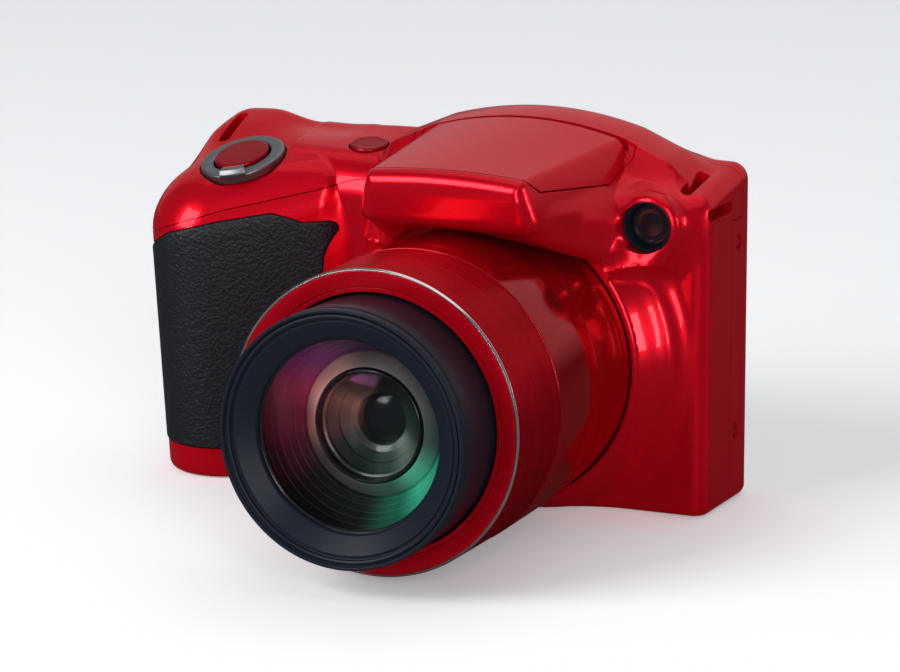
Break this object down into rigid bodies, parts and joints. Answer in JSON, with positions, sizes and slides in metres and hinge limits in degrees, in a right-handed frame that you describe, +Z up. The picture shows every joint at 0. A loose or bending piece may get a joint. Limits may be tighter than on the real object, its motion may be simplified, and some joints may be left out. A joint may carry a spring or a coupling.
{
  "type": "bridge camera",
  "caption": "Bridge camera with a rubber-faced side grip, a telescoping lens in a brushed collar ring, a lift-up flash over the lens, a rear display and a tripod socket.",
  "frame": {"origin": "mouth of the tripod socket on the base, under the optical axis", "axes": "+Z up, -Y the way the lens looks, +X towards the plain side away from the grip"},
  "size_m": [0.1044, 0.0964, 0.0686],
  "materials": {
    "red_shell": "metallic gloss paint",
    "red_control": "gloss paint",
    "red_anodised": "spun and anodised",
    "grip_rubber": "leather grain",
    "black_plastic": "matte",
    "satin_black": "satin",
    "lens_glass": "coated",
    "lamp_glass": "dark",
    "display_glass": "gloss",
    "clear_plastic": "clear",
    "gunmetal": "satin",
    "bare_metal": "satin",
    "pin_steel": "ground",
    "board_green": "matte",
    "battery_grey": "matte",
    "catch_orange": "matte"
  },
  "bodies": {
    "camera_body": {"front_cover": "red_shell", "rear_cover": "red_shell", "top_cover": "red_shell", "grip_rubber": "grip_rubber", "lens_base": "black_plastic", "gloss_barrel": "red_shell", "brushed_ring": "red_anodised", "face_ring": "red_shell", "rear_element": "lens_glass", "image_sensor": "board_green", "lamp_bezel": "satin_black", "lamp_window": "lamp_glass", "flash_pin": "pin_steel", "flash_capacitor": "black_plastic", "chassis": "bare_metal", "main_board": "board_green", "display_panel": "black_plastic", "display_window": "display_glass", "battery_box": "black_plastic", "battery": "battery_grey", "memory_card": "black_plastic", "door_pin": "pin_steel", "terminal_pin": "pin_steel", "terminal_socket": "bare_metal", "tripod_socket": "bare_metal", "side_screws": "gunmetal", "base_screws": "gunmetal"},
    "cam": {"cam_ring": "bare_metal"},
    "middle": {"middle_barrel": "black_plastic"},
    "front": {"front_barrel": "satin_black", "front_bezel": "satin_black", "front_element": "lens_glass", "inner_baffle": "black_plastic", "second_element": "lens_glass"},
    "lever": {"zoom_lever": "gunmetal"},
    "shutter": {"shutter_button": "red_control"},
    "power": {"power_button": "red_control"},
    "flash": {"flash_lid": "red_shell", "flash_frame": "black_plastic", "flash_window": "clear_plastic", "flash_reflector": "bare_metal", "flash_tube": "clear_plastic"},
    "catch": {"battery_catch": "catch_orange"},
    "door": {"battery_door": "red_shell"},
    "flap": {"terminal_flap": "red_shell"},
    "movie": {"movie_button": "black_plastic"},
    "play": {"play_button": "black_plastic"},
    "menu": {"menu_button": "black_plastic"},
    "help": {"help_button": "black_plastic"},
    "pad": {"four_way_pad": "black_plastic"},
    "set": {"set_button": "black_plastic"}
  },
  "joints": [
    {"name": "zoom_middle", "type": "slide", "parent": "camera_body", "child": "middle", "axis": [0, -1, 0], "range_m": [-0.006, 0.02]},
    {"name": "zoom_front", "type": "slide", "parent": "middle", "child": "front", "axis": [0, -1, 0], "range_m": [-0.006, 0.02]},
    {"name": "cam_turn", "type": "hinge", "parent": "camera_body", "child": "cam", "pos_m": [0, -0.04, 0.0269], "axis": [0, -1, 0], "range_deg": [-28, 92]},
    {"name": "zoom_lever_turn", "type": "hinge", "parent": "camera_body", "child": "lever", "pos_m": [-0.0535, -0.008, 0.0558], "axis": [-0.1202, -0.3219, 0.9391], "range_deg": [-20, 20], "stiffness_Nm_per_rad": 0.02},
    {"name": "shutter_press", "type": "slide", "parent": "camera_body", "child": "shutter", "axis": [0.1202, 0.3219, -0.9391], "range_m": [0, 0.001], "stiffness_N_per_m": 800},
    {"name": "power_press", "type": "slide", "parent": "camera_body", "child": "power", "axis": [-0.0226, 0.1819, -0.9831], "range_m": [0, 0.0005], "stiffness_N_per_m": 1500},
    {"name": "flash_lift", "type": "hinge", "parent": "camera_body", "child": "flash", "pos_m": [0, -0.0072, 0.0646], "axis": [-1, 0, 0], "range_deg": [0, 50]},
    {"name": "catch_slide", "type": "slide", "parent": "camera_body", "child": "catch", "axis": [0, -1, 0], "range_m": [0, 0.0013], "stiffness_N_per_m": 600},
    {"name": "door_swing", "type": "hinge", "parent": "camera_body", "child": "door", "pos_m": [-0.0431, 0.0074, 0.00115], "axis": [1, 0, 0], "range_deg": [0, 90]},
    {"name": "flap_swing", "type": "hinge", "parent": "camera_body", "child": "flap", "pos_m": [-0.06367, 0.00634, 0.01952], "axis": [0.0257, -0.0063, -0.9997], "range_deg": [0, 90]},
    {"name": "movie_press", "type": "slide", "parent": "camera_body", "child": "movie", "axis": [0, -1, 0], "range_m": [0, 0.0004], "stiffness_N_per_m": 1200},
    {"name": "play_press", "type": "slide", "parent": "camera_body", "child": "play", "axis": [0, -1, 0], "range_m": [0, 0.0004], "stiffness_N_per_m": 1200},
    {"name": "menu_press", "type": "slide", "parent": "camera_body", "child": "menu", "axis": [0, -1, 0], "range_m": [0, 0.0004], "stiffness_N_per_m": 1200},
    {"name": "help_press", "type": "slide", "parent": "camera_body", "child": "help", "axis": [0, -1, 0], "range_m": [0, 0.0004], "stiffness_N_per_m": 1200},
    {"name": "pad_press", "type": "slide", "parent": "camera_body", "child": "pad", "axis": [0, -1, 0], "range_m": [0, 0.0004], "stiffness_N_per_m": 1200},
    {"name": "set_press", "type": "slide", "parent": "camera_body", "child": "set", "axis": [0, -1, 0], "range_m": [0, 0.0004], "stiffness_N_per_m": 1200}
  ],
  "couplings": [
    {"joint": "zoom_front", "follows": "zoom_middle", "ratio": 1},
    {"joint": "cam_turn", "follows": "zoom_middle", "rad_per_m": 78.54}
  ]
}
